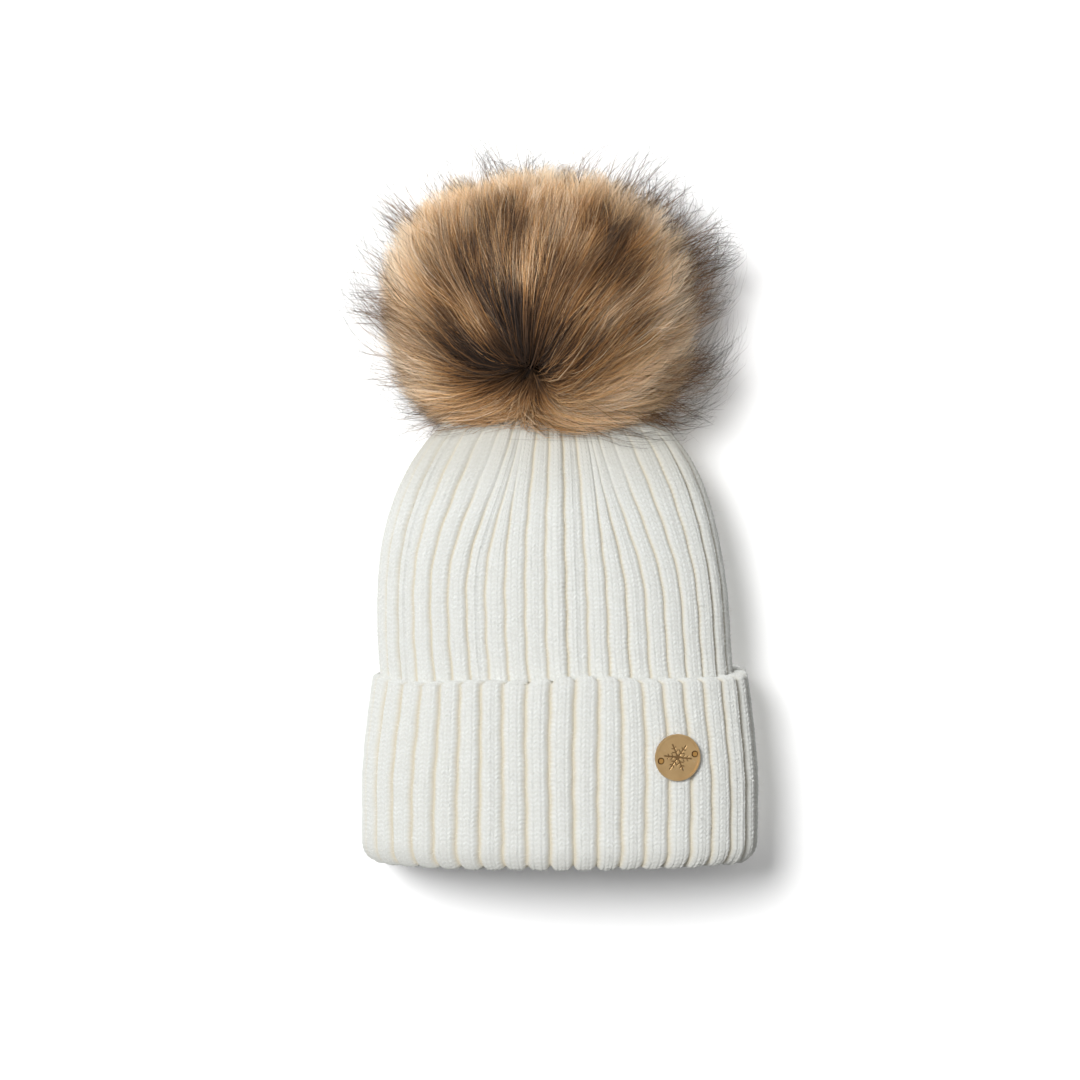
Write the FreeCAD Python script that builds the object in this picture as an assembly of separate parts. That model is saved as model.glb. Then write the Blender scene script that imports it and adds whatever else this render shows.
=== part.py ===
"""Ribbed knit beanie with a turn-up cuff and a detachable fur pom on a press stud.

Millimetres, +Z up through the crown, the front faces -Y.
The origin is the centre of the head opening, in the plane of the cuff's lower edge.
Soft pieces are plain closed solids; hard pieces have their real shape.
"""
import FreeCAD, Part
import math
import os

Vector = FreeCAD.Vector
UP = Vector(0, 0, 1)

# Knit body: a flattened tube that closes into a crown
fabric = 5.0                # thickness of one layer of the chunky rib
body_half_width = 87.5
body_half_depth = 44.0
body_bottom_z = fabric + 0.5    # the tube ends just above the cuff's fold
shoulder_z = 104.0          # where the tube starts to close
crown_top_z = 234.0
crown_power_width = 2.5     # roundness of the crown, seen from the front
crown_power_depth = 3.5     # and from the side, where the gathers fill it out
crown_lean = -4.0           # sideways shift of the crown's tip
oval_power = 2.6            # roundness of the flattened cross-sections
oval_points = 24

# Cuff: the turn-up outside the body, with its fold below
cuff_height = 92.0
cuff_half_width = 98.0
cuff_half_depth = 52.0
cuff_top_inset = 4.4        # how far the free edge hugs in towards the body
cuff_fold_round = 5.0       # rounding under the fold

# Seams and label inside the body
seam_bead_radius = 1.2
seam_gap = 0.6              # between a bead and the knit it lies on
seam_segment = 12.0         # length of each straight run of a bead
label_width = 20.0
label_drop = 30.0
label_thickness = 1.2
label_top_z = 46.0
back_seam_low_z = 12.0
back_seam_high_z = 195.0
dart_low_z = 168.0
dart_high_z = 209.0
dart_angles = (55, 125, 235, 305)

# Crown tip: two rings of knit that bend about one centre, closed by a press stud
flex_gap = 0.6
button_radius = 10.0
gather_radius = 17.0
cord_radius = 0.8
patch_radius = 9.0
patch_thickness = 1.5
part_gap = 0.1              # assembly gap between stacked pieces

# Press stud
socket_radius = 6.4
socket_height = 3.4
socket_floor = 0.8
socket_bore_radius = 3.3
spring_wire_radius = 0.5
stud_radius = 2.5
running_gap = 0.05          # radial play of the stud and of the rivets
stud_flange_radius = 6.0
stud_flange_thickness = 1.6
stud_reach = 2.3            # depth of the stud in the socket
stud_tip_round = 0.5
socket_edge_round = 0.8
cap_edge_round = 0.9
cap_post_radius = 1.6
cap_thickness = 1.8

# Pom
pom_half_width = 80.0
pom_half_depth = 66.0
pom_half_height = 70.0
pom_centre_above_crown = 41.0
base_radius = 12.5
base_thickness = 1.6
core_radius = 30.0
core_centre_above_crown = 38.0
skin_thickness = 1.2
drawstring_ring_radius = 9.0
drawstring_radius = 0.9
dent_radius = 104.0         # the round hollow that lets the pom turn and nod over the crown
dent_half_height = 54.0
dent_top_above_crown = 14.0

# Badge on the cuff's front
badge_radius = 11.2
badge_thickness = 1.6
badge_rim_width = 0.9
badge_rim_height = 0.35
badge_x = 56.0
badge_z = 54.0
badge_sink_radius = 1.6      # the counterbore that takes a rivet's head
badge_rivet_radius = 0.85
badge_rivet_head_radius = 1.15
badge_rivet_offset = 8.6
badge_rivet_tilt = 10.0     # degrees that the line of the rivets rises to the right
badge_lift = 0.6            # from the cuff's face to the disc's back, over the rounded front
rivet_head_height = 0.5
rivet_slack = 0.5           # play between the cuff's back and the washers
washer_radius = 2.4
washer_thickness = 0.6

flex_centre = Vector(crown_lean, 0, crown_top_z - fabric / 2)


def signed_power(value, power):
    return math.copysign(abs(value) ** power, value)


def lean(z):
    """Sideways shift of the body's section at height z."""
    rise = max(0.0, z - shoulder_z) / (crown_top_z - shoulder_z)
    return crown_lean * rise


def oval_point(half_width, half_depth, z, angle):
    x = half_width * signed_power(math.cos(angle), 2 / oval_power)
    y = half_depth * signed_power(math.sin(angle), 2 / oval_power)
    return Vector(x + lean(z), y, z)


def oval(half_width, half_depth, z):
    """Closed spline through a flattened round section."""
    points = []
    for i in range(oval_points):
        points.append(oval_point(half_width, half_depth, z, 2 * math.pi * i / oval_points))
    curve = Part.BSplineCurve()
    curve.interpolate(Points=points, PeriodicFlag=True)
    return Part.Wire(curve.toShape())


def loft(sections):
    """Solid through ovals given as (half width, half depth, z)."""
    wires = [oval(a, b, z) for a, b, z in sections]
    return Part.makeLoft(wires, True, False)


def crown_scale(z, inset, power):
    """How much of its full size the crown keeps at height z."""
    rise = max(0.0, z - shoulder_z) / (crown_top_z - inset - shoulder_z)
    return max(0.0, 1 - rise ** power) ** (1 / power)


def body_section(z, inset):
    """Half width and half depth of the knit tube, inset from its outer face."""
    half_width = (body_half_width - inset) * crown_scale(z, inset, crown_power_width)
    half_depth = (body_half_depth - inset) * crown_scale(z, inset, crown_power_depth)
    return half_width, half_depth, z


def body_loft(inset, bottom_z):
    height = crown_top_z - inset - shoulder_z
    levels = [bottom_z, 0.5 * (bottom_z + shoulder_z), shoulder_z]
    levels += [shoulder_z + height * step for step in (0.25, 0.5, 0.68, 0.82, 0.92, 0.975)]
    return loft([body_section(z, inset) for z in levels])


def ball(radius):
    return Part.makeSphere(radius, flex_centre)


def slab(low_z, high_z, reach=200.0):
    """Everything between two heights."""
    corner = Vector(-reach, -reach, low_z)
    return Part.makeBox(2 * reach, 2 * reach, high_z - low_z, corner)


def on_axis(z):
    return Vector(crown_lean, 0, z)


def disc(radius, low_z, thickness, hole=0.0):
    shape = Part.makeCylinder(radius, thickness, on_axis(low_z), UP)
    if hole:
        shape = shape.cut(Part.makeCylinder(hole, 3 * thickness, on_axis(low_z - thickness), UP))
    return shape


def bead(low_z, high_z, angle):
    """A stitched seam: a thin bead that climbs the inside of the knit at one angle."""
    inset = fabric + seam_gap + seam_bead_radius
    segments = max(3, round((high_z - low_z) / seam_segment))
    rings = []
    for i in range(segments + 1):
        z = low_z + (high_z - low_z) * i / segments
        half_width, half_depth, z = body_section(z, inset)
        centre = oval_point(half_width, half_depth, z, math.radians(angle))
        rings.append(Part.Wire(Part.makeCircle(seam_bead_radius, centre, UP)))
    return Part.makeLoft(rings, True, True)


# Knit

def knit_body():
    outer = body_loft(0.0, body_bottom_z)
    inner = body_loft(fabric, body_bottom_z)
    tube = outer.cut(inner)
    return tube.cut(ball(gather_radius + flex_gap))


def cuff_section(z, inset):
    """The cuff leans in towards the body over its upper part."""
    lower = 0.4 * cuff_height
    rise = max(0.0, z - lower) / (cuff_height - lower)
    tuck = cuff_top_inset * rise ** 1.5
    return cuff_half_width - inset - tuck, cuff_half_depth - inset - 0.5 * tuck, z


def cuff():
    """Outer layer and the fold that joins it to the body's lower end."""
    steps = (0.0, 0.2, 0.4, 0.6, 0.8, 1.0)
    outer = loft([cuff_section(cuff_height * step, 0.0) for step in steps])
    lower_edge = min(outer.Edges, key=lambda edge: edge.CenterOfMass.z)
    outer = outer.makeFillet(cuff_fold_round, [lower_edge])
    slot_height = cuff_height - fabric
    slot = loft([cuff_section(fabric + slot_height * step, fabric) for step in steps])
    opening = loft([body_section(z, fabric) for z in (0.0, fabric, 2 * fabric)])
    return outer.cut(slot).cut(opening)


def back_seam():
    return bead(back_seam_low_z, back_seam_high_z, 90)


def crown_dart_seams():
    """Four seams that run up the inside of the crown, two at the front and two behind."""
    seams = [bead(dart_low_z, dart_high_z, angle) for angle in dart_angles]
    return Part.makeCompound(seams)


def care_label():
    """A blank tape folded over, hanging beside the back seam."""
    back_y = body_half_depth - fabric - 2 * seam_gap
    left_x = 2 * seam_bead_radius
    corner = Vector(left_x, back_y - label_thickness, label_top_z - label_drop)
    tape = Part.makeBox(label_width, label_thickness, label_drop, corner)
    lower_edges = [edge for edge in tape.Edges
                   if edge.Length > 0.9 * label_width
                   and edge.CenterOfMass.z < label_top_z - 0.5 * label_drop]
    return tape.makeFillet(0.45 * label_thickness, lower_edges)


# Crown tip

def knit_ring(outer_radius, inner_radius=0.0):
    """A disc or ring of knit whose edges are parts of spheres about the bending centre."""
    ring = ball(outer_radius).common(slab(crown_top_z - fabric, crown_top_z))
    if inner_radius:
        ring = ring.cut(ball(inner_radius))
    return ring


def crown_gather():
    return knit_ring(gather_radius, button_radius + flex_gap)


def gather_cord():
    ring_radius = 0.5 * (gather_radius + button_radius)
    centre = on_axis(crown_top_z + cord_radius + part_gap)
    return Part.makeTorus(ring_radius, cord_radius, centre, UP)


def crown_button():
    hole = Part.makeCylinder(cap_post_radius + part_gap, 4 * fabric,
                             on_axis(crown_top_z - 2 * fabric), UP)
    return knit_ring(button_radius).cut(hole)


def crown_patch():
    top_z = crown_top_z - fabric - part_gap
    return disc(patch_radius, top_z - patch_thickness, patch_thickness,
                hole=cap_post_radius + part_gap)


# Press stud

def snap_socket():
    """A cup with a bore for the stud and a groove for the ring that grips it."""
    floor_z = crown_top_z + part_gap
    cup = disc(socket_radius, floor_z, socket_height)
    rim = max(cup.Edges, key=lambda edge: edge.CenterOfMass.z)
    cup = cup.makeFillet(socket_edge_round, [rim])
    bore_z = floor_z + socket_floor
    cup = cup.cut(Part.makeCylinder(socket_bore_radius, socket_height, on_axis(bore_z), UP))
    groove_radius = socket_bore_radius + 2 * spring_wire_radius
    groove = Part.makeCylinder(groove_radius, 2.6 * spring_wire_radius,
                               on_axis(spring_z() - 1.3 * spring_wire_radius), UP)
    return cup.cut(groove)


def spring_z():
    return crown_top_z + part_gap + 0.5 * (socket_height + socket_floor)


def snap_spring():
    ring_radius = stud_radius + running_gap + spring_wire_radius
    wire = Part.makeTorus(ring_radius, spring_wire_radius, on_axis(spring_z()), UP)
    web_radius = socket_bore_radius + 2 * spring_wire_radius - 2 * running_gap
    web = disc(web_radius, spring_z() - 0.4 * spring_wire_radius, 0.8 * spring_wire_radius,
               hole=ring_radius)
    return wire.fuse(web)


def snap_socket_cap():
    patch_bottom_z = crown_top_z - fabric - patch_thickness - 2 * part_gap
    cap = disc(socket_radius, patch_bottom_z - cap_thickness, cap_thickness)
    underside = min(cap.Edges, key=lambda edge: edge.CenterOfMass.z)
    cap = cap.makeFillet(cap_edge_round, [underside])
    post_height = crown_top_z + part_gap - patch_bottom_z
    post = Part.makeCylinder(cap_post_radius, post_height, on_axis(patch_bottom_z), UP)
    return cap.fuse(post)


def socket_top_z():
    return crown_top_z + part_gap + socket_height


def flange_bottom_z():
    return socket_top_z() + part_gap


def base_bottom_z():
    return flange_bottom_z() + stud_flange_thickness + part_gap


def snap_stud():
    flange = disc(stud_flange_radius, flange_bottom_z(), stud_flange_thickness)
    tip_z = socket_top_z() - stud_reach
    post = disc(stud_radius, tip_z, flange_bottom_z() - tip_z)
    tip = min(post.Edges, key=lambda edge: edge.CenterOfMass.z)
    post = post.makeFillet(stud_tip_round, [tip])
    neck_height = base_thickness + 2 * part_gap
    neck = disc(cap_post_radius, flange_bottom_z() + stud_flange_thickness, neck_height)
    return flange.fuse(post).fuse(neck)


def snap_stud_cap():
    low_z = base_bottom_z() + base_thickness + part_gap
    cap = disc(stud_flange_radius, low_z, cap_thickness)
    rim = max(cap.Edges, key=lambda edge: edge.CenterOfMass.z)
    return cap.makeFillet(cap_edge_round, [rim])


# Pom

def pom_base():
    return disc(base_radius, base_bottom_z(), base_thickness, hole=cap_post_radius + part_gap)


def core_centre():
    return on_axis(crown_top_z + core_centre_above_crown)


def skin_mouth_z():
    """Height where the backing's gathered mouth is open."""
    return base_bottom_z() + base_thickness + 2 * part_gap + 2 * drawstring_radius


def pom_drawstring():
    centre = on_axis(skin_mouth_z() - drawstring_radius - part_gap)
    return Part.makeTorus(drawstring_ring_radius, drawstring_radius, centre, UP)


def pom_skin():
    shell = Part.makeSphere(core_radius, core_centre())
    shell = shell.cut(Part.makeSphere(core_radius - skin_thickness, core_centre()))
    return shell.common(slab(skin_mouth_z(), skin_mouth_z() + 3 * core_radius))


def pom_filling():
    wadding = Part.makeSphere(core_radius - skin_thickness - 2 * part_gap, core_centre())
    floor_z = skin_mouth_z() + cap_thickness
    return wadding.common(slab(floor_z, floor_z + 3 * core_radius))


def ellipsoid(half_width, half_depth, half_height, centre):
    stretch = FreeCAD.Matrix()
    stretch.scale(half_width, half_depth, half_height)
    shape = Part.makeSphere(1.0).transformGeometry(stretch)
    shape.translate(centre)
    return shape


def pom_fur():
    """The pile: a ball around the backing, hollowed below where it sits over the crown."""
    centre = on_axis(crown_top_z + pom_centre_above_crown)
    pile = ellipsoid(pom_half_width, pom_half_depth, pom_half_height, centre)
    dent_centre = on_axis(crown_top_z + dent_top_above_crown - dent_half_height)
    dent = ellipsoid(dent_radius, dent_radius, dent_half_height, dent_centre)
    core = Part.makeSphere(core_radius + 2 * part_gap, core_centre())
    mouth = disc(base_radius + 5 * part_gap, crown_top_z, core_centre_above_crown)
    return pile.cut(dent).cut(core).cut(mouth)


# Badge

def badge_frame():
    """Placement whose origin is on the cuff's outer face and whose +Z points out of it."""
    half_width, half_depth, z = cuff_section(badge_z, 0.0)
    x_share = badge_x / half_width
    y = -half_depth * (1 - x_share ** oval_power) ** (1 / oval_power)
    slope_x = (x_share ** (oval_power - 1)) / half_width
    slope_y = -((abs(y) / half_depth) ** (oval_power - 1)) / half_depth
    outward = Vector(slope_x, slope_y, 0).normalize()
    turn = FreeCAD.Rotation(UP.cross(outward), UP, outward, "ZXY")
    return FreeCAD.Placement(Vector(badge_x, y, z), turn)


def placed(shape):
    shape.Placement = badge_frame().multiply(shape.Placement)
    return shape


def rivet_places():
    """Centres of the two rivets, in the badge's own plane."""
    angle = math.radians(badge_rivet_tilt)
    across = Vector(math.cos(angle), math.sin(angle), 0) * badge_rivet_offset
    return [across, across * -1]


def cylinder_at(radius, height, place, low):
    return Part.makeCylinder(radius, height, place + Vector(0, 0, low), UP)


def badge_disc():
    low = badge_lift
    plate = cylinder_at(badge_radius, badge_thickness, Vector(), low)
    field = cylinder_at(badge_radius - badge_rim_width, badge_thickness, Vector(),
                        low + badge_thickness - badge_rim_height)
    plate = plate.cut(field)
    ledge = low + badge_thickness - rivet_head_height - running_gap
    for place in rivet_places():
        hole = cylinder_at(badge_rivet_radius + running_gap, 4 * badge_thickness, place, -1.0)
        sink = cylinder_at(badge_sink_radius, badge_thickness, place, ledge)
        plate = plate.cut(hole).cut(sink)
    return placed(plate)


def badge_rivets():
    """Shanks through the cuff with low heads sunk in the badge's two counterbores."""
    top = badge_lift + badge_thickness
    rivets = []
    for place in rivet_places():
        length = top + fabric + 2 * washer_thickness + rivet_back_gap(place)
        shank = cylinder_at(badge_rivet_radius, length, place, top - length)
        head = cylinder_at(badge_rivet_head_radius, rivet_head_height, place,
                           top - rivet_head_height)
        rivets.append(shank.fuse(head))
    return placed(Part.makeCompound(rivets))


def rivet_back_gap(place):
    """How much further behind the badge's plane the curved cuff lies at a rivet."""
    half_width = cuff_section(badge_z, 0.0)[0]
    return place.Length ** 2 / half_width + rivet_slack


def badge_washers():
    washers = []
    for place in rivet_places():
        low = -fabric - rivet_back_gap(place) - washer_thickness
        ring = cylinder_at(washer_radius, washer_thickness, place, low)
        hole = cylinder_at(badge_rivet_radius + running_gap, 2 * fabric, place, low - fabric)
        washers.append(ring.cut(hole))
    return placed(Part.makeCompound(washers))


def cuff_with_rivet_holes():
    shape = cuff()
    holes = []
    for place in rivet_places():
        radius = badge_rivet_radius + running_gap
        holes.append(cylinder_at(radius, 6 * fabric, place, -3.5 * fabric))
    return shape.cut(placed(Part.makeCompound(holes)))


PIECES = {
    "knit_body": knit_body,
    "cuff": cuff_with_rivet_holes,
    "back_seam": back_seam,
    "crown_dart_seams": crown_dart_seams,
    "care_label": care_label,
    "crown_gather": crown_gather,
    "gather_cord": gather_cord,
    "crown_button": crown_button,
    "crown_patch": crown_patch,
    "snap_socket": snap_socket,
    "snap_socket_cap": snap_socket_cap,
    "snap_spring": snap_spring,
    "snap_stud": snap_stud,
    "snap_stud_cap": snap_stud_cap,
    "pom_base": pom_base,
    "pom_drawstring": pom_drawstring,
    "pom_skin": pom_skin,
    "pom_filling": pom_filling,
    "pom_fur": pom_fur,
    "badge_disc": badge_disc,
    "badge_rivets": badge_rivets,
    "badge_washers": badge_washers,
}

os.makedirs("parts", exist_ok=True)
for name, make in PIECES.items():
    make().exportStep(os.path.join("parts", name + ".step"))
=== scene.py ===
"""Looks of the ribbed beanie and its fur pom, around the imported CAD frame. Metres, +Z up, front -Y."""
import math
import bpy
import numpy as np
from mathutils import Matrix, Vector


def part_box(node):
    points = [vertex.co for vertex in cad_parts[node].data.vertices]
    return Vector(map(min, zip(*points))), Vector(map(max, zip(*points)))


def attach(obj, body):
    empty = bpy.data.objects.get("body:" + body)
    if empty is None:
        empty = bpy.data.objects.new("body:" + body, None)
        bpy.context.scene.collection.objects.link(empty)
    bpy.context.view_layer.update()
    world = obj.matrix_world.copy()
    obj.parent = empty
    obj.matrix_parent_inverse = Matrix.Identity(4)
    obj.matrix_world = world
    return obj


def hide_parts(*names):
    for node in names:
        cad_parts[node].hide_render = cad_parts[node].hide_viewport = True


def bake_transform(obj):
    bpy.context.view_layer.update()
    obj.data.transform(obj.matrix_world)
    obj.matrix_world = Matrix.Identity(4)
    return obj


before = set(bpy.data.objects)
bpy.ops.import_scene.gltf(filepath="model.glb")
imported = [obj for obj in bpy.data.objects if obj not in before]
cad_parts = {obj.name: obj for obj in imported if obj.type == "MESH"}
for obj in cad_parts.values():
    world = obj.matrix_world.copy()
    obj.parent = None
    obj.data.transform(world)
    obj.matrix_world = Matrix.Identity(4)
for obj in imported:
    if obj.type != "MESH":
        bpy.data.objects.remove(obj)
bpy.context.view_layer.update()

MM = 0.001
TAU = 2 * math.pi


# Sizes, from the frame

def span(node, axis):
    low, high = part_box(node)
    return high[axis] - low[axis]


def middle(node, axis):
    low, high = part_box(node)
    return 0.5 * (low[axis] + high[axis])


CUFF_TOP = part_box("cuff")[1][2]
CUFF_WIDE = 0.5 * span("cuff", 0)
CUFF_DEEP = 0.5 * span("cuff", 1)
BODY_WIDE = 0.5 * span("knit_body", 0)
BODY_DEEP = 0.5 * span("knit_body", 1)
CROWN_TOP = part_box("crown_gather")[1][2]
FABRIC = span("crown_gather", 2)
AXIS_X = middle("snap_stud", 0)
SHOULDER = CUFF_TOP + 12 * MM       # where the crown starts to close
PILE_WIDE = 0.5 * span("pom_fur", 0)
PILE_DEEP = 0.5 * span("pom_fur", 1)
PILE_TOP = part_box("pom_fur")[1][2]
CORE = 0.5 * span("pom_skin", 0)
CORE_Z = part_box("pom_skin")[1][2] - CORE
BUTTON = 0.5 * span("crown_button", 0)

OVAL_POWER = 2.6            # squareness of the flat-lying cross-section
CROWN_POWER = (2.5, 3.5)    # roundness of the crown across and in depth
CUFF_INSET = 4.4 * MM       # how far the cuff's free edge hugs in
CUFF_RIBS, BODY_RIBS = 44, 46
CUFF_PITCH, BODY_PITCH = 11.6 * MM, 9.8 * MM    # from rib to rib
CUFF_SAMPLES, BODY_SAMPLES = 27, 22             # grid columns on a rib
LINING_SAMPLES = 8


def smooth(x, low, high):
    """0 below low, 1 above high, with a soft step between."""
    t = np.clip((x - low) / (high - low), 0, 1)
    return t * t * (3 - 2 * t)


def unit(v):
    return v / np.maximum(np.linalg.norm(v, axis=-1, keepdims=True), 1e-9)


def oval_table(wide, deep, count=4000):
    """Arc length against turn for a flattened oval, from the front centre round to the back."""
    turn = np.linspace(0, math.pi, count)
    x = wide * np.abs(np.sin(turn)) ** (2 / OVAL_POWER)
    y = -deep * np.sign(np.cos(turn)) * np.abs(np.cos(turn)) ** (2 / OVAL_POWER)
    length = np.concatenate([[0], np.cumsum(np.hypot(np.diff(x), np.diff(y)))])
    return length / length[-1], turn


def oval(share, table):
    """Unit oval at a share of the way round: -0.5 and 0.5 at the back, 0 at the front, + to the right."""
    share = (share + 0.5) % 1.0 - 0.5
    turn = np.interp(2 * np.abs(share), *table)
    x = np.sign(share) * np.abs(np.sin(turn)) ** (2 / OVAL_POWER)
    y = -np.sign(np.cos(turn)) * np.abs(np.cos(turn)) ** (2 / OVAL_POWER)
    return x, y


# Meshes

def mesh_object(name, points, faces, uv=None, normals=None, floats=None):
    """A mesh piece from arrays: faces hold 3 or 4 corners, uv is per face corner."""
    mesh = bpy.data.meshes.new(name)
    count = sum(len(f) for f in faces)
    corners = np.concatenate([np.asarray(f, dtype=np.int32).ravel() for f in faces])
    sizes = np.concatenate([np.full(len(f), np.asarray(f).shape[1], dtype=np.int32) for f in faces])
    starts = np.concatenate([[0], np.cumsum(sizes)[:-1]]).astype(np.int32)
    mesh.vertices.add(len(points))
    mesh.vertices.foreach_set("co", np.asarray(points, dtype=np.float32).ravel())
    mesh.loops.add(len(corners))
    mesh.loops.foreach_set("vertex_index", corners)
    mesh.polygons.add(count)
    mesh.polygons.foreach_set("loop_start", starts)
    mesh.polygons.foreach_set("use_smooth", np.ones(count, dtype=bool))
    mesh.update(calc_edges=True)
    if uv is not None:
        layer = mesh.uv_layers.new(name="OFBake")
        layer.data.foreach_set("uv", np.asarray(uv, dtype=np.float32).ravel())
    for key, values in (floats or {}).items():
        layer = mesh.attributes.new(key, "FLOAT", "POINT")
        layer.data.foreach_set("value", np.asarray(values, dtype=np.float32).ravel())
    if normals is not None:
        mesh.normals_split_custom_set_from_vertices(np.asarray(normals, dtype=np.float32))
    obj = bpy.data.objects.new(name, mesh)
    bpy.context.scene.collection.objects.link(obj)
    return obj


def grid_normals(points, round_u, round_v):
    """Unit normals of a grid of points, rows first."""
    along_u = np.gradient(points, axis=1)
    along_v = np.gradient(points, axis=0)
    if round_u:
        along_u[:, 0] = along_u[:, -1] = 0.5 * (points[:, 1] - points[:, -2])
    if round_v:
        along_v[0] = along_v[-1] = 0.5 * (points[1] - points[-2])
    normal = np.cross(along_u, along_v)
    size = np.linalg.norm(normal, axis=2, keepdims=True)
    return normal / np.maximum(size, 1e-12)


def grid_piece(name, points, normals, floats, rows, columns):
    """One patch of a grid as a piece, with its UV unrolled and the whole grid's normals."""
    patch = np.ix_(rows, columns)
    high, wide = len(rows), len(columns)
    index = np.arange(high * wide).reshape(high, wide)
    quads = np.stack([index[:-1, :-1], index[:-1, 1:], index[1:, 1:], index[1:, :-1]], axis=-1)
    u = np.broadcast_to(np.linspace(0.002, 0.998, wide), (high, wide))
    v = np.broadcast_to(np.linspace(0.002, 0.998, high)[:, None], (high, wide))
    flat = quads.reshape(-1, 4)
    uv = np.stack([u.ravel()[flat], v.ravel()[flat]], axis=-1)
    values = {key: value[patch].ravel() for key, value in floats.items()}
    return mesh_object(name, points[patch].reshape(-1, 3), [flat], uv,
                       normals[patch].reshape(-1, 3), values)


# Knit

WALES = 3                   # columns of stitches on a rib
STITCH = 2.3 * MM           # height of a stitch
LOFT = 0.5                  # how much of a rib's depth stands proud of the cloth's own surface
STITCH_HIGH = 0.45 * MM     # how far a stitch stands out of its rib
GROOVE_DEEP = 0.28 * MM     # between two columns of stitches
EDGE_WANDER = (0.16 * MM, 0.22 * MM)    # of a valley's edges, from stitch to stitch and in longer waves
EDGE_RATE = 310             # of those longer waves, radians a metre


def knit_relief(phase, length, valley_width, depth, pitch, seed):
    """Height of ribbed knit over its base, how deep in a valley, and how far between stitches (0 to 1). The
    last two are also the masks of the knit's painted shade.
    """
    rib = np.round(phase)
    draw = np.random.default_rng(seed)
    shake = draw.uniform(0, TAU, 64)[rib.astype(int) % 64]
    wander = EDGE_WANDER[0] * np.sin(TAU * length / STITCH + shake)
    wander = wander + EDGE_WANDER[1] * np.sin(EDGE_RATE * length + 2 * shake)
    part = phase % 1.0
    near = np.abs(phase - rib) * pitch + np.sign(phase - rib) * wander * (np.abs(phase - rib) < 0.3)
    valley = np.exp(-(near / valley_width) ** 2)
    crown = 1 - np.abs(2 * part - 1) ** 2.6
    wale = part * WALES
    lag = draw.uniform(0, 1, 64)[(np.floor(phase) * WALES + np.floor(wale)).astype(int) % 64]
    leg = np.abs(2 * (wale % 1.0) - 1)
    course = length / STITCH + 0.5 * leg + lag
    beat = 0.5 + 0.5 * np.cos(TAU * course)
    size = 0.75 + 0.25 * np.sin(7.3 * np.floor(course) + 40 * lag)
    stitch = np.sin(np.pi * np.clip(leg, 0.02, 0.98)) ** 0.7 * beat * size
    groove = np.exp(-((1 - leg) / 0.2) ** 2)
    height = depth * (LOFT * crown - (1 - LOFT) * valley) + STITCH_HIGH * stitch * (1 - 0.8 * valley)
    height = height - GROOVE_DEEP * groove * (1 - valley)
    # Mask for the painted shade between stitches.
    between = np.clip(1 - stitch, 0, 1) ** 2 * (1 - 0.7 * valley)
    return height, valley, between


def unevenness(x, z, seed):
    """Slow waves that keep hand-sized cloth from looking ruled; -1 to 1."""
    draw = np.random.default_rng(seed)
    total = 0
    for _ in range(6):
        fx, fz = draw.uniform(8, 45, 2)
        total = total + np.sin(fx * x + fz * z + draw.uniform(0, TAU))
    return total / 6


def displaced(points, height, round_u, round_v):
    """Points moved along their normals by a height."""
    return points + grid_normals(points, round_u, round_v) * height[..., None]


def soft_normals(moved, points, round_u, round_v):
    """Normals drawn to the front and back in the large, as wool scatters light, with the relief kept."""
    broad = grid_normals(points, round_u, round_v)
    relief = grid_normals(moved, round_u, round_v) - broad
    broad[..., 1] += 0.9 * np.tanh(points[..., 1] / (8 * MM))
    return unit(unit(broad) + 0.75 * relief)


def rib_depths(count, seed, low, high):
    """A depth factor for each valley, and none of them alike."""
    return np.random.default_rng(seed).uniform(low, high, count)


def badge_directions():
    """Middle of the badge, its right, its up and its outward direction."""
    centre = np.array([middle("badge_disc", axis) for axis in range(3)])
    wide, deep = cuff_wall(centre[2])
    outward = unit(np.array([(centre[0] / wide) ** (OVAL_POWER - 1) / wide,
                             -(abs(centre[1]) / deep) ** (OVAL_POWER - 1) / deep, 0.0]))
    up = np.array([0.0, 0.0, 1.0])
    return centre, np.cross(up, outward), up, outward


def pressed_by_badge(points):
    """Keeps the cuff's knit behind the badge, with a soft shoulder around it."""
    centre, _, _, outward = badge_directions()
    radius = 0.5 * span("badge_disc", 2)
    room, shoulder = 0.95 * MM, 3.5 * MM
    away = points - centre
    ahead = away @ outward
    sideways = np.linalg.norm(away - ahead[..., None] * outward, axis=-1)
    behind = np.clip(ahead + room, 0, None) * (1 - smooth(sideways, radius, radius + shoulder))
    behind = np.where(points[..., 1] < 0, behind, 0)
    return points - behind[..., None] * outward


def cuff_wall(z):
    """Half width and half depth of the cuff's outer face."""
    lower = 0.4 * CUFF_TOP
    rise = np.clip((z - lower) / (CUFF_TOP - lower), 0, 1)
    tuck = CUFF_INSET * rise ** 1.5
    return CUFF_WIDE - tuck, CUFF_DEEP - 0.5 * tuck


def arc(centre, radii, first, last, steps):
    """Points (inset, height) on an arc; angles in degrees, 0 towards the outside."""
    turn = np.radians(np.linspace(first, last, steps))
    return np.stack([centre[0] - radii[0] * np.cos(turn), centre[1] + radii[1] * np.sin(turn)], axis=1)


RIM = 2.5 * MM              # radius of the cuff's free edge
HUG = 4.0 * MM              # how much thicker the cuff is at that edge
LIP = 4.5 * MM              # radius where the fold turns up inside
FOLD = 6.5 * MM             # and outside, where it is taller than wide
FOLD_HIGH = 10.4 * MM


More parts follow.
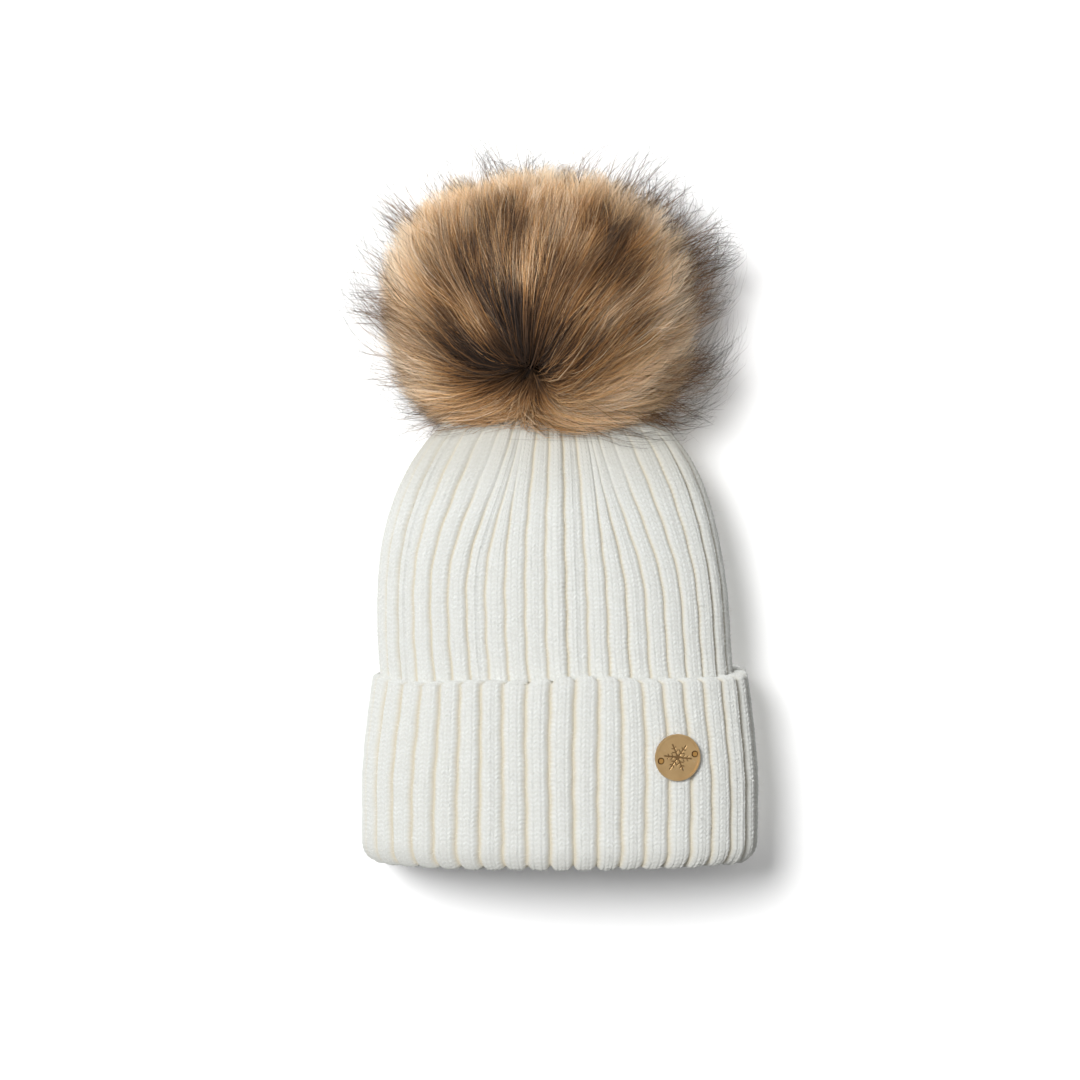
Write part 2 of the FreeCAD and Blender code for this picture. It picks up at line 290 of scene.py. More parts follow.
def cuff_profile():
    """Closed section through the turned-up layer and its fold: inset, height, rib strength, in sight."""
    gap = CUFF_WIDE - BODY_WIDE
    inner = gap + FABRIC
    outer_z = np.arange(11.0 * MM, CUFF_TOP - RIM, 0.46 * MM)
    lip_z = np.linspace(16 * MM, 5.4 * MM, 14)
    lip = np.stack([inner - 2.4 * MM * smooth(lip_z, 6 * MM, 12 * MM), lip_z], axis=1)
    under = arc((inner - LIP, LIP), (-LIP, 4.2 * MM), -8, -90, 14)
    flat = np.stack([np.linspace(inner - 5.2 * MM, 7.4 * MM, 9), np.full(9, 0.25 * MM)], axis=1)
    turn_up = arc((FOLD, 10.5 * MM), (FOLD, FOLD_HIGH), -88, -4, 24)
    outer = np.stack([np.zeros_like(outer_z), outer_z], axis=1)
    top = arc((RIM + 0.5 * HUG, CUFF_TOP - RIM), (RIM + 0.5 * HUG, RIM), 10, 170, 14)
    behind_z = np.linspace(CUFF_TOP - 4 * MM, 9 * MM, 9)
    thicker = HUG * smooth(behind_z, CUFF_TOP - 30 * MM, CUFF_TOP - 4 * MM)
    behind = np.stack([FABRIC + thicker, behind_z], axis=1)
    slot = np.array([[FABRIC + 1.5 * MM, 6 * MM], [gap - 1 * MM, 6 * MM], [gap + 0.5 * MM, 8.5 * MM]])
    in_lip = 1 - smooth(lip_z, 6 * MM, 11 * MM)
    near_rim = 1 - 0.15 * smooth(outer_z, CUFF_TOP - 9 * MM, CUFF_TOP - RIM)
    parts = [(lip, in_lip, True), (under, 1, True), (flat, 1, True), (turn_up, 1, True),
             (outer, near_rim, True), (top, 0.9, True), (behind, 0.5, False), (slot, 0.3, False)]
    inset, height = np.concatenate([points for points, _, _ in parts]).T
    strength = np.concatenate([np.ones(len(points)) * share for points, share, _ in parts])
    seen = np.concatenate([np.full(len(points), shown) for points, _, shown in parts])
    return [np.append(column, column[0]) for column in (inset, height, strength, seen)]


def ring_patches(name, moved, normals, floats, rows, count, body, material, nodes):
    """Cuts a closed ring of knit into patches that share their edges."""
    columns = moved.shape[1] - 1
    start = columns // (2 * count)
    edges = start + np.round(np.linspace(0, columns, count + 1)).astype(int)
    pieces = []
    for number in range(count):
        part = np.arange(edges[number], edges[number + 1] + 1) % columns
        piece = grid_piece("%s_%d" % (name, number + 1), moved, normals, floats, rows, part)
        finish_piece(piece, body, material, "knit", *nodes)
        pieces.append(piece)
    return pieces


def make_cuff(material):
    """The turn-up with its fold. Returns its outer face, for the fuzz."""
    inset, height, strength, seen = cuff_profile()
    share = np.linspace(-0.5, 0.5, CUFF_RIBS * CUFF_SAMPLES + 1)
    unit_x, unit_y = oval(share, oval_table(CUFF_WIDE, CUFF_DEEP))
    wide, deep = cuff_wall(height)
    length = np.concatenate([[0], np.cumsum(np.hypot(np.diff(inset), np.diff(height)))])
    share_grid, z = np.meshgrid(share, height)
    sway = 0.10 * np.sin(TAU * share_grid * 5 + 40 * z) * smooth(z, 0, CUFF_TOP)
    phase = share_grid * CUFF_RIBS + 0.40 + sway
    valley_index = np.round(phase).astype(int) % CUFF_RIBS
    depth = 2.3 * MM * rib_depths(CUFF_RIBS, 5, 0.7, 1.2)[valley_index]
    relief, valley, between = knit_relief(phase, length[:, None], 1.45 * MM, depth, CUFF_PITCH, 31)
    rim_wave = 1.0 * MM * np.sin(TAU * share_grid * 3 + 1.0) + 0.5 * MM * np.sin(TAU * share_grid * 8)
    corner = 3.2 * MM * np.exp(-((share_grid - 0.25) / 0.06) ** 2)
    points = np.empty(z.shape + (3,))
    points[..., 0] = unit_x * (wide - inset)[:, None]
    points[..., 1] = unit_y * (deep - inset)[:, None]
    points[..., 2] = z + (rim_wave + corner) * smooth(z, 0.5 * CUFF_TOP, CUFF_TOP)
    swell = 1.2 * MM * unevenness(points[..., 0], z, 11) * smooth(z, 0, 20 * MM)
    settle = 0.8 * MM + 1.2 * MM * smooth(z, 0.4 * CUFF_TOP, CUFF_TOP)
    moved = pressed_by_badge(displaced(points, relief * strength[:, None] + swell - settle, True, True))
    normals = soft_normals(moved, points, True, True)
    floats = {"valley": valley * np.clip(strength, 0, 1)[:, None], "between": between}
    outer = np.nonzero(seen[:-1])[0]
    hidden = np.arange(outer[-1], len(height))
    ring_patches("cuff_knit", moved, normals, floats, outer, 6, "cuff", material, ["cuff"])
    coarse = {key: value[:, ::3] for key, value in floats.items()}
    ring_patches("cuff_inside", moved[:, ::3], normals[:, ::3], coarse, hidden, 2, "cuff", material, ["cuff"])
    return moved[outer], normals[outer]


def crown_scale(height, power):
    rise = np.clip((height - SHOULDER) / (CROWN_TOP - SHOULDER), 0, 0.99999)
    return (1 - rise ** power) ** (1 / power)


def meridian(low, step, tip):
    """Heights up the front of the body, equally spaced along its curve, until the tip's radius."""
    z = np.concatenate([np.linspace(low, SHOULDER, 400), SHOULDER + (CROWN_TOP - SHOULDER)
                        * np.sin(np.linspace(0, math.pi / 2, 6000)) ** 0.5])
    wide = BODY_WIDE * crown_scale(z, CROWN_POWER[0])
    deep = BODY_DEEP * crown_scale(z, CROWN_POWER[1])
    across = 0.5 * (wide + deep)
    keep = across > tip
    z, across = z[keep], across[keep]
    length = np.concatenate([[0], np.cumsum(np.hypot(np.diff(z), np.diff(across)))])
    even = np.arange(0, length[-1], step)
    return np.interp(even, length, z), even


DARTS = (-0.047, 0.055, 0.5 - 0.055, -0.5 + 0.047)   # shares of the way round where ribs run together
DART_REACH = 0.085                                   # how far the pull of a dart is felt, same measure
DART_PULL = (0.84, 0.12)                             # of the ribs outside a dart, and of those between two
LEAN = 2.6 * MM                                      # how far the body sags to the left at half height


def dart_pull(share, z):
    """The ribs outside a dart lean in to it as the crown closes, and those between two darts run straight on.
    Returns the moved share and the local spread."""
    grip = smooth(z, SHOULDER + 28 * MM, SHOULDER + 104 * MM)
    moved = share.copy()
    spread = np.ones_like(share)
    for dart in DARTS:
        away = (share - dart + 0.5) % 1.0 - 0.5
        towards_side = away * (1 if abs(dart) < 0.25 else -1) * np.sign(dart) > 0
        pull = np.where(towards_side, *DART_PULL) * grip
        bell = np.exp(-(away / DART_REACH) ** 2)
        moved = moved - pull * away * bell
        spread = spread - pull * bell * (1 - 2 * (away / DART_REACH) ** 2)
    return moved, spread


def body_points(share, z, inset, table):
    """The knit body's faces at given shares and heights, with its sideways lean."""
    moved, spread = dart_pull(share, z)
    unit_x, unit_y = oval(moved, table)
    lean = AXIS_X * np.clip((z - SHOULDER) / (CROWN_TOP - SHOULDER), 0, 1)
    lean = lean - LEAN * smooth(z, 70 * MM, 110 * MM) * (1 - smooth(z, 150 * MM, 215 * MM))
    squeeze = inset * np.clip(crown_scale(z, CROWN_POWER[0]) * 1.5, 0, 1)
    points = np.empty(z.shape + (3,))
    points[..., 0] = unit_x * (BODY_WIDE * crown_scale(z, CROWN_POWER[0]) - squeeze) + lean
    points[..., 1] = unit_y * (BODY_DEEP * crown_scale(z, CROWN_POWER[1]) - squeeze)
    points[..., 2] = z - inset * smooth(z, SHOULDER, CROWN_TOP)
    return points, spread


def valley_boost(share, wide, places):
    """Deepens the valleys that fall at the given positions across the front."""
    front = np.linspace(-0.25, 0.25, 801)
    x, _ = oval(front, oval_table(BODY_WIDE, BODY_DEEP))
    factor = np.ones_like(share)
    for place, amount in places:
        where = np.interp(place / wide, x, front)
        factor = factor + amount * np.exp(-((share - where) * BODY_RIBS / 0.6) ** 2)
    return factor


def faded(points):
    """1 where the ribs run full, less in the plain patches beside the decreases."""
    x, z = points[..., 0] - AXIS_X, points[..., 2]
    patch = np.exp(-((np.abs(x) - 30 * MM) / (9 * MM)) ** 2 - ((z - 194 * MM) / (17 * MM)) ** 2)
    top = 0.5 * smooth(z, CROWN_TOP - 42 * MM, CROWN_TOP - 18 * MM)
    return (1 - 0.92 * patch) * (1 - top * (1 - np.exp(-(x / (26 * MM)) ** 2)))


def make_body(material):
    """The body above the cuff and the crown. Returns the part that the pom leaves free, for the fuzz."""
    z, length = meridian(0.8 * CUFF_TOP, 0.5 * MM, BUTTON + 1.0 * MM)
    share_grid, z_grid = np.meshgrid(np.linspace(-0.5, 0.5, BODY_RIBS * BODY_SAMPLES + 1), z)
    table = oval_table(BODY_WIDE, BODY_DEEP)
    points, spread = body_points(share_grid, z_grid, 0.0, table)
    phase = share_grid * BODY_RIBS + 0.34 + 0.07 * np.sin(TAU * share_grid * 4 + 25 * z_grid)
    valley_index = np.round(phase).astype(int) % BODY_RIBS
    depth = 1.8 * MM * rib_depths(BODY_RIBS, 8, 0.6, 1.3)[valley_index]
    depth = depth * valley_boost(share_grid, BODY_WIDE, [(74 * MM, 0.2), (-77 * MM, 0.6), (3 * MM, 0.4)])
    closing = crown_scale(z_grid, 2.5)
    narrow = np.clip(spread * (0.25 + 0.75 * closing), 0.02, 1.2)
    relief, valley, between = knit_relief(phase, length[:, None], 1.0 * MM / narrow ** 0.5, depth,
                                          BODY_PITCH, 37)
    fade = smooth(narrow, 0.10, 0.6)
    ribs = fade * faded(points)
    swell = 1.5 * MM * unevenness(points[..., 0], z_grid, 3) * closing
    settle = 1.3 * MM * smooth(closing, 0.1, 0.5)
    moved = displaced(points, relief * (0.3 * fade + 0.7 * ribs) + swell - settle, True, False)
    normals = soft_normals(moved, points, True, False)
    floats = {"valley": valley * ribs, "between": between * fade}
    split = int(np.searchsorted(z, SHOULDER + 45 * MM))
    lower = np.arange(0, split + 1)
    upper = np.arange(split, len(z))
    ring_patches("body_knit", moved, normals, floats, lower, 4, "hat", material, ["knit_body"])
    for piece in ring_patches("crown_knit", moved, normals, floats, upper, 4, None, material,
                              ["knit_body", "crown_gather"]):
        blend_crown(piece)
    show = z < CROWN_TOP - 40 * MM
    return moved[show], normals[show]


def blend_crown(piece):
    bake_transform(piece)


def make_lining(material):
    """The inside face of the body, in a lower and an upper piece."""
    every = np.arange(BODY_RIBS * LINING_SAMPLES + 1)
    z, length = meridian(7 * MM, 1.4 * MM, BUTTON + 1.0 * MM)
    share_grid, z_grid = np.meshgrid(np.linspace(-0.5, 0.5, len(every)), z)
    points, spread = body_points(share_grid, z_grid, FABRIC, oval_table(BODY_WIDE, BODY_DEEP))
    phase = share_grid * BODY_RIBS + 0.84
    relief, valley, between = knit_relief(phase, length[:, None], 1.3 * MM, 1.6 * MM, BODY_PITCH, 41)
    fade = smooth(spread * (0.25 + 0.75 * crown_scale(z_grid, 2.5)), 0.12, 0.65)
    moved = displaced(points, -relief * fade, True, False)
    normals = grid_normals(moved, True, False)
    floats = {"valley": valley * fade, "between": between * fade}
    split = int(np.searchsorted(z, 0.82 * CUFF_TOP))
    low_rows, high_rows = np.arange(split, -1, -1), np.arange(len(z) - 1, split - 1, -1)
    lower = grid_piece("lining_knit_lower", moved, -normals, floats, low_rows, every)
    finish_piece(lower, None, material, "knit", "knit_body")
    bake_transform(lower)
    upper = grid_piece("lining_knit_upper", moved, -normals, floats, high_rows, every)
    finish_piece(upper, None, material, "knit", "knit_body")
    blend_crown(upper)


def make_button(material):
    """The small gathered disc of knit that the press stud clamps."""
    rings, columns = 24, 160
    r = np.linspace(0.15 * BUTTON, BUTTON + 1.6 * MM, rings)
    turn = np.linspace(0, TAU, columns + 1)
    turn_grid, r_grid = np.meshgrid(turn, r)
    sag = 1.2 * MM * (r_grid / BUTTON) ** 2
    pleat = 0.5 * MM * np.cos(18 * turn_grid) * smooth(r_grid, 0.4 * BUTTON, BUTTON)
    points = np.stack([AXIS_X + r_grid * np.cos(turn_grid), r_grid * np.sin(turn_grid),
                       CROWN_TOP - 0.3 * MM - sag + pleat], axis=-1)
    normals = grid_normals(points, True, False)
    # Valley here masks painted shade in the pleats' hollows.
    floats = {"valley": 0.5 - pleat / MM, "between": np.zeros_like(pleat)}
    piece = grid_piece("crown_button_knit", points, normals, floats, np.arange(rings), np.arange(columns + 1))
    finish_piece(piece, "snap_seat", material, "knit", "crown_button")


def make_fuzz(name, surface, body, count, seed, material, node):
    """Loose fibres standing off the knit."""
    points, normals = surface
    draw = np.random.default_rng(seed)
    row = draw.integers(0, points.shape[0], count)
    column = draw.integers(0, points.shape[1] - 1, count)
    start = points[row, column] - 0.1 * MM * normals[row, column]
    outward = normals[row, column]
    steps = 4
    lean = unit(outward + draw.normal(0, 0.55, (count, 3)))
    curl = unit(np.cross(lean, draw.normal(size=(count, 3))))
    long = draw.gamma(3.0, 0.5, count)[:, None, None] * MM
    t = np.linspace(0, 1, steps)[None, :, None]
    path = start[:, None] + long * (lean[:, None] * t + 0.7 * curl[:, None] * t ** 2)
    width = draw.uniform(0.06, 0.12, count) * MM
    piece = strip_mesh(name, path, width, normals=outward)
    finish_piece(piece, body, material, "knit", node)


# Materials

class Nodes:
    """Short calls for building the node tree of a material or world, around its main shader."""

    def __init__(self, name, family=bpy.data.materials, main="Principled BSDF"):
        self.owner = family.new(name)
        self.owner.use_nodes = True
        self.tree = self.owner.node_tree
        self.main = self.tree.nodes[main]

    def add(self, kind, **values):
        node = self.tree.nodes.new(kind)
        for key, value in values.items():
            setattr(node, key, value)
        return node

    def feed(self, socket, value):
        """Links another node's output to a socket, or sets the socket to a plain value."""
        if isinstance(value, bpy.types.NodeSocket):
            self.tree.links.new(value, socket)
        else:
            socket.default_value = value

    def set(self, **values):
        for key, value in values.items():
            self.feed(self.main.inputs[key.replace("_", " ")], value)

    def ramp(self, factor, stops):
        node = self.add("ShaderNodeValToRGB")
        while len(node.color_ramp.elements) < len(stops):
            node.color_ramp.elements.new(0.5)
        for element, (place, colour) in zip(node.color_ramp.elements, stops):
            element.position = place
            element.color = linear(colour)
        self.feed(node.inputs["Fac"], factor)
        return node.outputs["Color"]

    def mix(self, factor, first, second, kind="RGBA"):
        node = self.add("ShaderNodeMix", data_type=kind)
        for key, value in (("Factor", factor), ("A", first), ("B", second)):
            self.feed(node.inputs[key], linear(value) if isinstance(value, tuple) else value)
        return node.outputs["Result"]

    def maths(self, operation, *values):
        node = self.add("ShaderNodeMath", operation=operation)
        for socket, value in zip(node.inputs, values):
            self.feed(socket, value)
        return node.outputs[0]

    def times(self, a, b):
        return self.maths("MULTIPLY", a, b)

    def minus(self, a, b):
        return self.maths("SUBTRACT", a, b)

    def length(self, a, b):
        return self.maths("SQRT", self.maths("ADD", self.times(a, a), self.times(b, b)))

    def dot(self, vector, direction):
        node = self.add("ShaderNodeVectorMath", operation="DOT_PRODUCT")
        self.feed(node.inputs[0], vector)
        node.inputs[1].default_value = direction
        return node.outputs["Value"]

    def ranged(self, value, low, high, least, most, **values):
        """A value mapped from low...high to least...most."""
        node = self.add("ShaderNodeMapRange", **values)
        for key, limit in (("From Min", low), ("From Max", high), ("To Min", least), ("To Max", most)):
            node.inputs[key].default_value = limit
        self.feed(node.inputs["Value"], value)
        return node.outputs["Result"]

    def place(self, kind="Object"):
        return self.add("ShaderNodeTexCoord").outputs[kind]

    def split(self, vector):
        node = self.add("ShaderNodeSeparateXYZ")
        self.feed(node.inputs["Vector"], vector)
        return node.outputs

    def noise(self, scale, detail=2.0, stretch=(1, 1, 1)):
        scaling = self.add("ShaderNodeMapping")
        scaling.inputs["Scale"].default_value = stretch
        self.feed(scaling.inputs["Vector"], self.place())
        node = self.add("ShaderNodeTexNoise")
        for key, value in (("Scale", scale), ("Detail", detail), ("Vector", scaling.outputs["Vector"])):
            self.feed(node.inputs[key], value)
        return node.outputs["Fac"]

    def bump(self, height, distance, strength=1.0):
        node = self.add("ShaderNodeBump")
        for key, value in (("Distance", distance), ("Strength", strength), ("Height", height)):
            self.feed(node.inputs[key], value)
        self.set(Normal=node.outputs["Normal"])


def linear(colour):
    """An sRGB colour, 0 to 255, as the linear colour that nodes hold."""
    out = []
    for value in colour[:3]:
        share = value / 255
        out.append(share / 12.92 if share <= 0.04045 else ((share + 0.055) / 1.055) ** 2.4)
    return (*out, 1.0)


def knit_material():
    """Off-white wool, with painted shade between stitches, in the valleys, under the pom and towards the
    bottom of the fold.
    """
    n = Nodes("ribbed_knit")
    valley = n.add("ShaderNodeAttribute", attribute_name="valley").outputs["Fac"]
    between = n.add("ShaderNodeAttribute", attribute_name="between").outputs["Fac"]
    fibre = n.noise(1400, 3.0)
    yarn = n.ramp(fibre, [(0.3, (202, 204, 202)), (0.7, (217, 219, 217))])
    yarn = n.mix(n.times(n.noise(260), 0.5), yarn, (200, 201, 196))
    # Painted shade between the stitches, where the gaps fall in shadow.
    yarn = n.mix(n.times(between, 0.42), yarn, (182, 181, 173))
    # Painted shade in the valleys: the warm beige of the recessed columns in their own shadow.
    deep = n.mix(n.times(fibre, 0.6), (196, 189, 171), (186, 177, 157))
    # Painted shade: darker just below the pom, where it shades the crown, and darker towards the bottom of
    # the hat, where the cuff's fold turns under.
    height = n.split(n.place())["Z"]
    for low, high, most, tint in ((CROWN_TOP - 66 * MM, CROWN_TOP - 18 * MM, 0.75, (176, 173, 163)),
                                  (16 * MM, 0.0, 0.45, (170, 169, 163))):
        shade = n.ranged(height, low, high, 0.0, most, interpolation_type="SMOOTHSTEP")
        yarn = n.mix(shade, yarn, tint)
    n.set(Base_Color=n.mix(n.maths("POWER", valley, 1.4), yarn, deep), Roughness=0.95, Sheen_Weight=0.15,
          Sheen_Roughness=0.5, Specular_IOR_Level=0.1)
    n.bump(n.maths("ADD", n.noise(2600), n.times(fibre, 0.8)), 0.25 * MM, 0.8)
    return n.owner


def fuzz_material():
    n = Nodes("knit_fuzz")
    n.set(Base_Color=linear((234, 233, 228)), Roughness=0.9, Specular_IOR_Level=0.1)
    return n.owner


def thread_material(name, colour, scale=1800):
    n = Nodes(name)
    wave = n.add("ShaderNodeTexWave", wave_type="BANDS", bands_direction="DIAGONAL")
    for key, value in (("Scale", scale), ("Distortion", 2.0), ("Vector", n.place())):
        n.feed(wave.inputs[key], value)
    dark = tuple(0.82 * c for c in colour)
    n.set(Base_Color=n.mix(wave.outputs["Fac"], dark, colour), Roughness=0.85, Specular_IOR_Level=0.2)
    n.bump(wave.outputs["Fac"], 0.15 * MM, 0.8)
    return n.owner


def felt_material(name, colour):
    n = Nodes(name)
    hair = n.noise(900, 6.0)
    dark = tuple(0.8 * c for c in colour)
    n.set(Base_Color=n.mix(hair, dark, colour), Roughness=0.95, Sheen_Weight=0.4, Specular_IOR_Level=0.1)
    n.bump(hair, 0.4 * MM, 0.9)
    return n.owner


def metal_material(name, colour, roughness, brushed=0.4):
    n = Nodes(name)
    grain = n.noise(500, 4.0, stretch=(1, 1, 12))
    light = tuple(min(255, 1.12 * c) for c in colour)
    n.set(Base_Color=n.mix(n.noise(90, 3.0), colour, light), Metallic=1.0,
          Roughness=n.maths("ADD", roughness, n.times(grain, 0.18)))
    n.bump(grain, 0.03 * MM, brushed)
    return n.owner


# The badge's engraving, in millimetres from its middle
STAR_REACH, STAR_ARM = 7.0, 0.24            # length and half width of an arm
STAR_BRANCHES = ((2.4, 1.7), (4.4, 1.3))    # where they leave the arm, and how far they reach
BRANCH, BRANCH_SLANT = 0.2, 0.58
STAR_RING = 1.0
STAR_TURN = 0.12
RIVET_REACH, RIVET_RING = 8.6, 1.62
RIVET_TILT = math.radians(10)


def star(n, a, b):
    """An engraved six-armed star: 1 in its lines, 0 outside."""
    def groove(distance, half):
        """1 inside a line of the given half width, falling to 0 just outside."""
        edge = n.minus(1.0, n.maths("DIVIDE", distance, 2 * half))
        return n.times(n.maths("MAXIMUM", edge, 0.0), 2.0)

    sixth = math.pi / 3
    radius = n.length(a, b)
    turn = n.maths("ADD", n.maths("ARCTAN2", b, a), TAU + sixth / 2 + STAR_TURN)
    fold = n.maths("ABSOLUTE", n.minus(n.maths("MODULO", turn, sixth), sixth / 2))
    along, off = n.times(radius, n.maths("COSINE", fold)), n.times(radius, n.maths("SINE", fold))
    marks = n.times(groove(off, STAR_ARM), n.maths("LESS_THAN", along, STAR_REACH))
    for start, reach in STAR_BRANCHES:
        slant = n.maths("ABSOLUTE", n.minus(n.minus(along, n.times(off, BRANCH_SLANT)), start))
        marks = n.maths("MAXIMUM", marks, n.times(groove(slant, BRANCH), n.maths("LESS_THAN", off, reach)))
    ring = groove(n.maths("ABSOLUTE", n.minus(radius, STAR_RING)), 0.2)
    return n.maths("MINIMUM", n.maths("MAXIMUM", marks, ring), 1.0)


def badge_material():
    """Satin brass with an engraved star, and painted shade in the rings round the rivets."""
    n = Nodes("badge_brass")
    centre, right, up, _ = badge_directions()
    away = n.add("ShaderNodeVectorMath", operation="SUBTRACT")
    n.feed(away.inputs[0], n.place())
    n.feed(away.inputs[1], centre)
    a, b = (n.dot(away.outputs["Vector"], direction / MM) for direction in (right, up))
    marks = star(n, a, b)
    # Painted shade in the narrow gap round each rivet head.
    dark = 0.0
    for reach in (-RIVET_REACH, RIVET_REACH):
        across, up = reach * math.cos(RIVET_TILT), reach * math.sin(RIVET_TILT)
        from_rivet = n.length(n.minus(a, across), n.minus(b, up))
        dark = n.maths("ADD", dark, n.maths("LESS_THAN", from_rivet, RIVET_RING))
    grain = n.noise(700, 4.0, stretch=(1, 1, 10))
    face = n.mix(n.noise(220, 3.0), (178, 145, 100), (208, 176, 128))
    face = n.mix(n.times(marks, 0.8), face, (104, 76, 44))
    face = n.mix(dark, face, (70, 46, 24))
    n.set(Base_Color=face, Metallic=0.85, Roughness=n.maths("ADD", 0.34, n.times(grain, 0.2)))
    n.bump(n.minus(n.times(grain, 0.05), marks), 0.16 * MM, 0.9)
    return n.owner


FUR_TONES = 64              # tones that strands may have, each a column of their UV map
FUR_COLOURS = (             # ash, gold and cream, each from dark to light
    ((27, 19, 14), (66, 51, 39), (116, 94, 73), (196, 168, 136), (248, 230, 206)),
    ((30, 18, 10), (98, 66, 37), (176, 126, 76), (232, 190, 138), (254, 234, 204)),
    ((36, 24, 15), (122, 90, 60), (206, 170, 130), (240, 212, 178), (253, 236, 212)))


def strand_place(n):
    """A strand's own UV: U and V."""
    uv = n.split(n.add("ShaderNodeUVMap", uv_map="OFBake").outputs["UV"])
    return uv["X"], uv["Y"]


def fur_material():
    """Colour from the strand's own UV: U holds its tone, ash to gold to cream, and V how light it is."""
    n = Nodes("long_fur")
    tone, light = strand_place(n)
    ash, gold, cream = (n.ramp(light, [(0.25 * step, colour) for step, colour in enumerate(colours)])
                        for colours in FUR_COLOURS)
    colour = n.mix(n.ramp(tone, [(0.24, (0, 0, 0)), (0.40, (255, 255, 255))]), ash, gold)
    colour = n.mix(n.ramp(tone, [(0.66, (0, 0, 0)), (0.84, (255, 255, 255))]), colour, cream)
    n.set(Base_Color=colour, Roughness=0.6, Specular_IOR_Level=0.2)
    return n.owner


def guard_material():
    """Brown hair with a dark tip."""
    n = Nodes("guard_hair")
    _, along = strand_place(n)
    colour = n.ramp(along, [(0.1, (112, 84, 58)), (0.60, (136, 104, 74)), (0.74, (50, 43, 37)),
                            (1.0, (26, 24, 22))])
    n.set(Base_Color=colour, Roughness=0.55, Specular_IOR_Level=0.2)
    return n.owner


def root_material():
    n = Nodes("fur_root_mat")
    clump = n.noise(160, 5.0)
    n.set(Base_Color=n.mix(clump, (30, 19, 12), (72, 48, 31)), Roughness=0.95, Specular_IOR_Level=0.1)
    n.bump(clump, 3 * MM)
    return n.owner


def finish_piece(piece, body, material, slot, *nodes):
    """Gives a piece its material and the body it rides on, and hides the CAD nodes that it stands for. Slot
    is not used.
    """
    piece.data.materials.append(material)
    if body:
        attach(piece, body)
    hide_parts(*nodes)


# Fur

WHORL = unit(np.array([-0.20, -0.76, -0.62]))
PILE_HIGH = 66 * MM         # half of its height
PILE_CENTRE = np.array([AXIS_X - 6 * MM, 0.0, PILE_TOP - PILE_HIGH])
PILE_SIZE = np.array([PILE_WIDE + 0.3 * MM, PILE_DEEP - 3 * MM, PILE_HIGH])
SQUARE_ABOVE, SQUARE_BELOW = 2.4, 3.1       # how boxy the pile's outline is, seen from the front
LOWEST = (-0.84, -0.68)                     # past a direction in this range strands hang where they are
# Locks on the front of the pile: across, up and radius (mm) from the pile's middle
DARK_LOCKS = ((-29, 14, 12), (-10, 30, 7), (-42, 0, 11), (12, 11, 8), (38, 30, 15), (-33, -39, 13),
              (22, -28, 8), (-47, -26, 9), (-16, -8, 9), (38, 5, 13), (48, -18, 8), (-20, 42, 5))
CREAM_LOCKS = ((-4, 36, 6), (10, 30, 9), (17, 18, 8), (-36, 34, 8), (-8, 4, 5), (38, -12, 9), (-30, -18, 8))


def sphere_points(count, draw):
    z = draw.uniform(-1, 1, count)
    turn = draw.uniform(0, TAU, count)
    flat = np.sqrt(1 - z * z)
    return np.stack([flat * np.cos(turn), flat * np.sin(turn), z], axis=1)


def combed(direction, angle):
    """Directions turned away from the whorl by an angle."""
    cosine = direction @ WHORL
    away = unit(direction * cosine[:, None] - WHORL)
    return unit(direction * np.cos(angle)[:, None] + away * np.sin(angle)[:, None])


def clear_of_crown(points, margin):
    """Pushes points that fall inside the knit crown out of it, mostly to the front or back."""
    points = points.copy()
    for _ in range(14):
        z = points[..., 2]
        low = np.clip(z, SHOULDER, CROWN_TOP - 0.5 * MM)
        wide = BODY_WIDE * crown_scale(low, CROWN_POWER[0]) + margin
        deep = BODY_DEEP * crown_scale(low, CROWN_POWER[1]) + margin
        x = points[..., 0] - AXIS_X
        y = points[..., 1]
        level = (np.abs(x) / wide) ** 2.3 + (np.abs(y) / deep) ** 2.3
        inside = (level < 1) & (z < CROWN_TOP + margin)
        push = np.where(inside, 2.0 * MM, 0.0)
        points[..., 0] += push * 0.3 * x / wide
        points[..., 1] += push * np.where(y > 6 * MM, 1.0, -1.0)
        points[..., 2] += push * 0.12
    return points


def pile_reach(direction):
    """Distance from the pile's middle to its surface: a rounded box, seen from the front."""
    power = np.where(direction[:, 2] > 0, SQUARE_ABOVE, SQUARE_BELOW)
    x, y, z = np.abs(direction / PILE_SIZE).T
    return ((x ** power + z ** power) ** (2 / power) + y * y) ** -0.5


def hanging(direction, lowest):
    """Keeps strands from lying under the pom: past their lowest direction they hang where they are."""
    low = np.clip(direction[:, 2], lowest, 1)
    flat = direction[:, :2] / np.maximum(np.linalg.norm(direction[:, :2], axis=1, keepdims=True), 1e-6)
    side = np.sqrt(1 - low ** 2)[:, None] * flat
    return np.where(direction[:, 2:] < low[:, None], np.concatenate([side, low[:, None]], axis=1), direction)


def lock_field(points, locks):
    """1 in the middle of a lock, falling to 0 around it; behind, the locks are mirrored and turned over."""
    away = points - PILE_CENTRE
    behind = away[..., 1] > 0
    across = np.where(behind, -away[..., 0], away[..., 0])
    up = np.where(behind, -away[..., 2], away[..., 2])
    total = np.zeros(across.shape)
    for x, z, radius in locks:
        total = total + np.exp(-((across - x * MM) ** 2 + (up - z * MM) ** 2) / (radius * MM) ** 2)
    return np.clip(total, 0, 1)


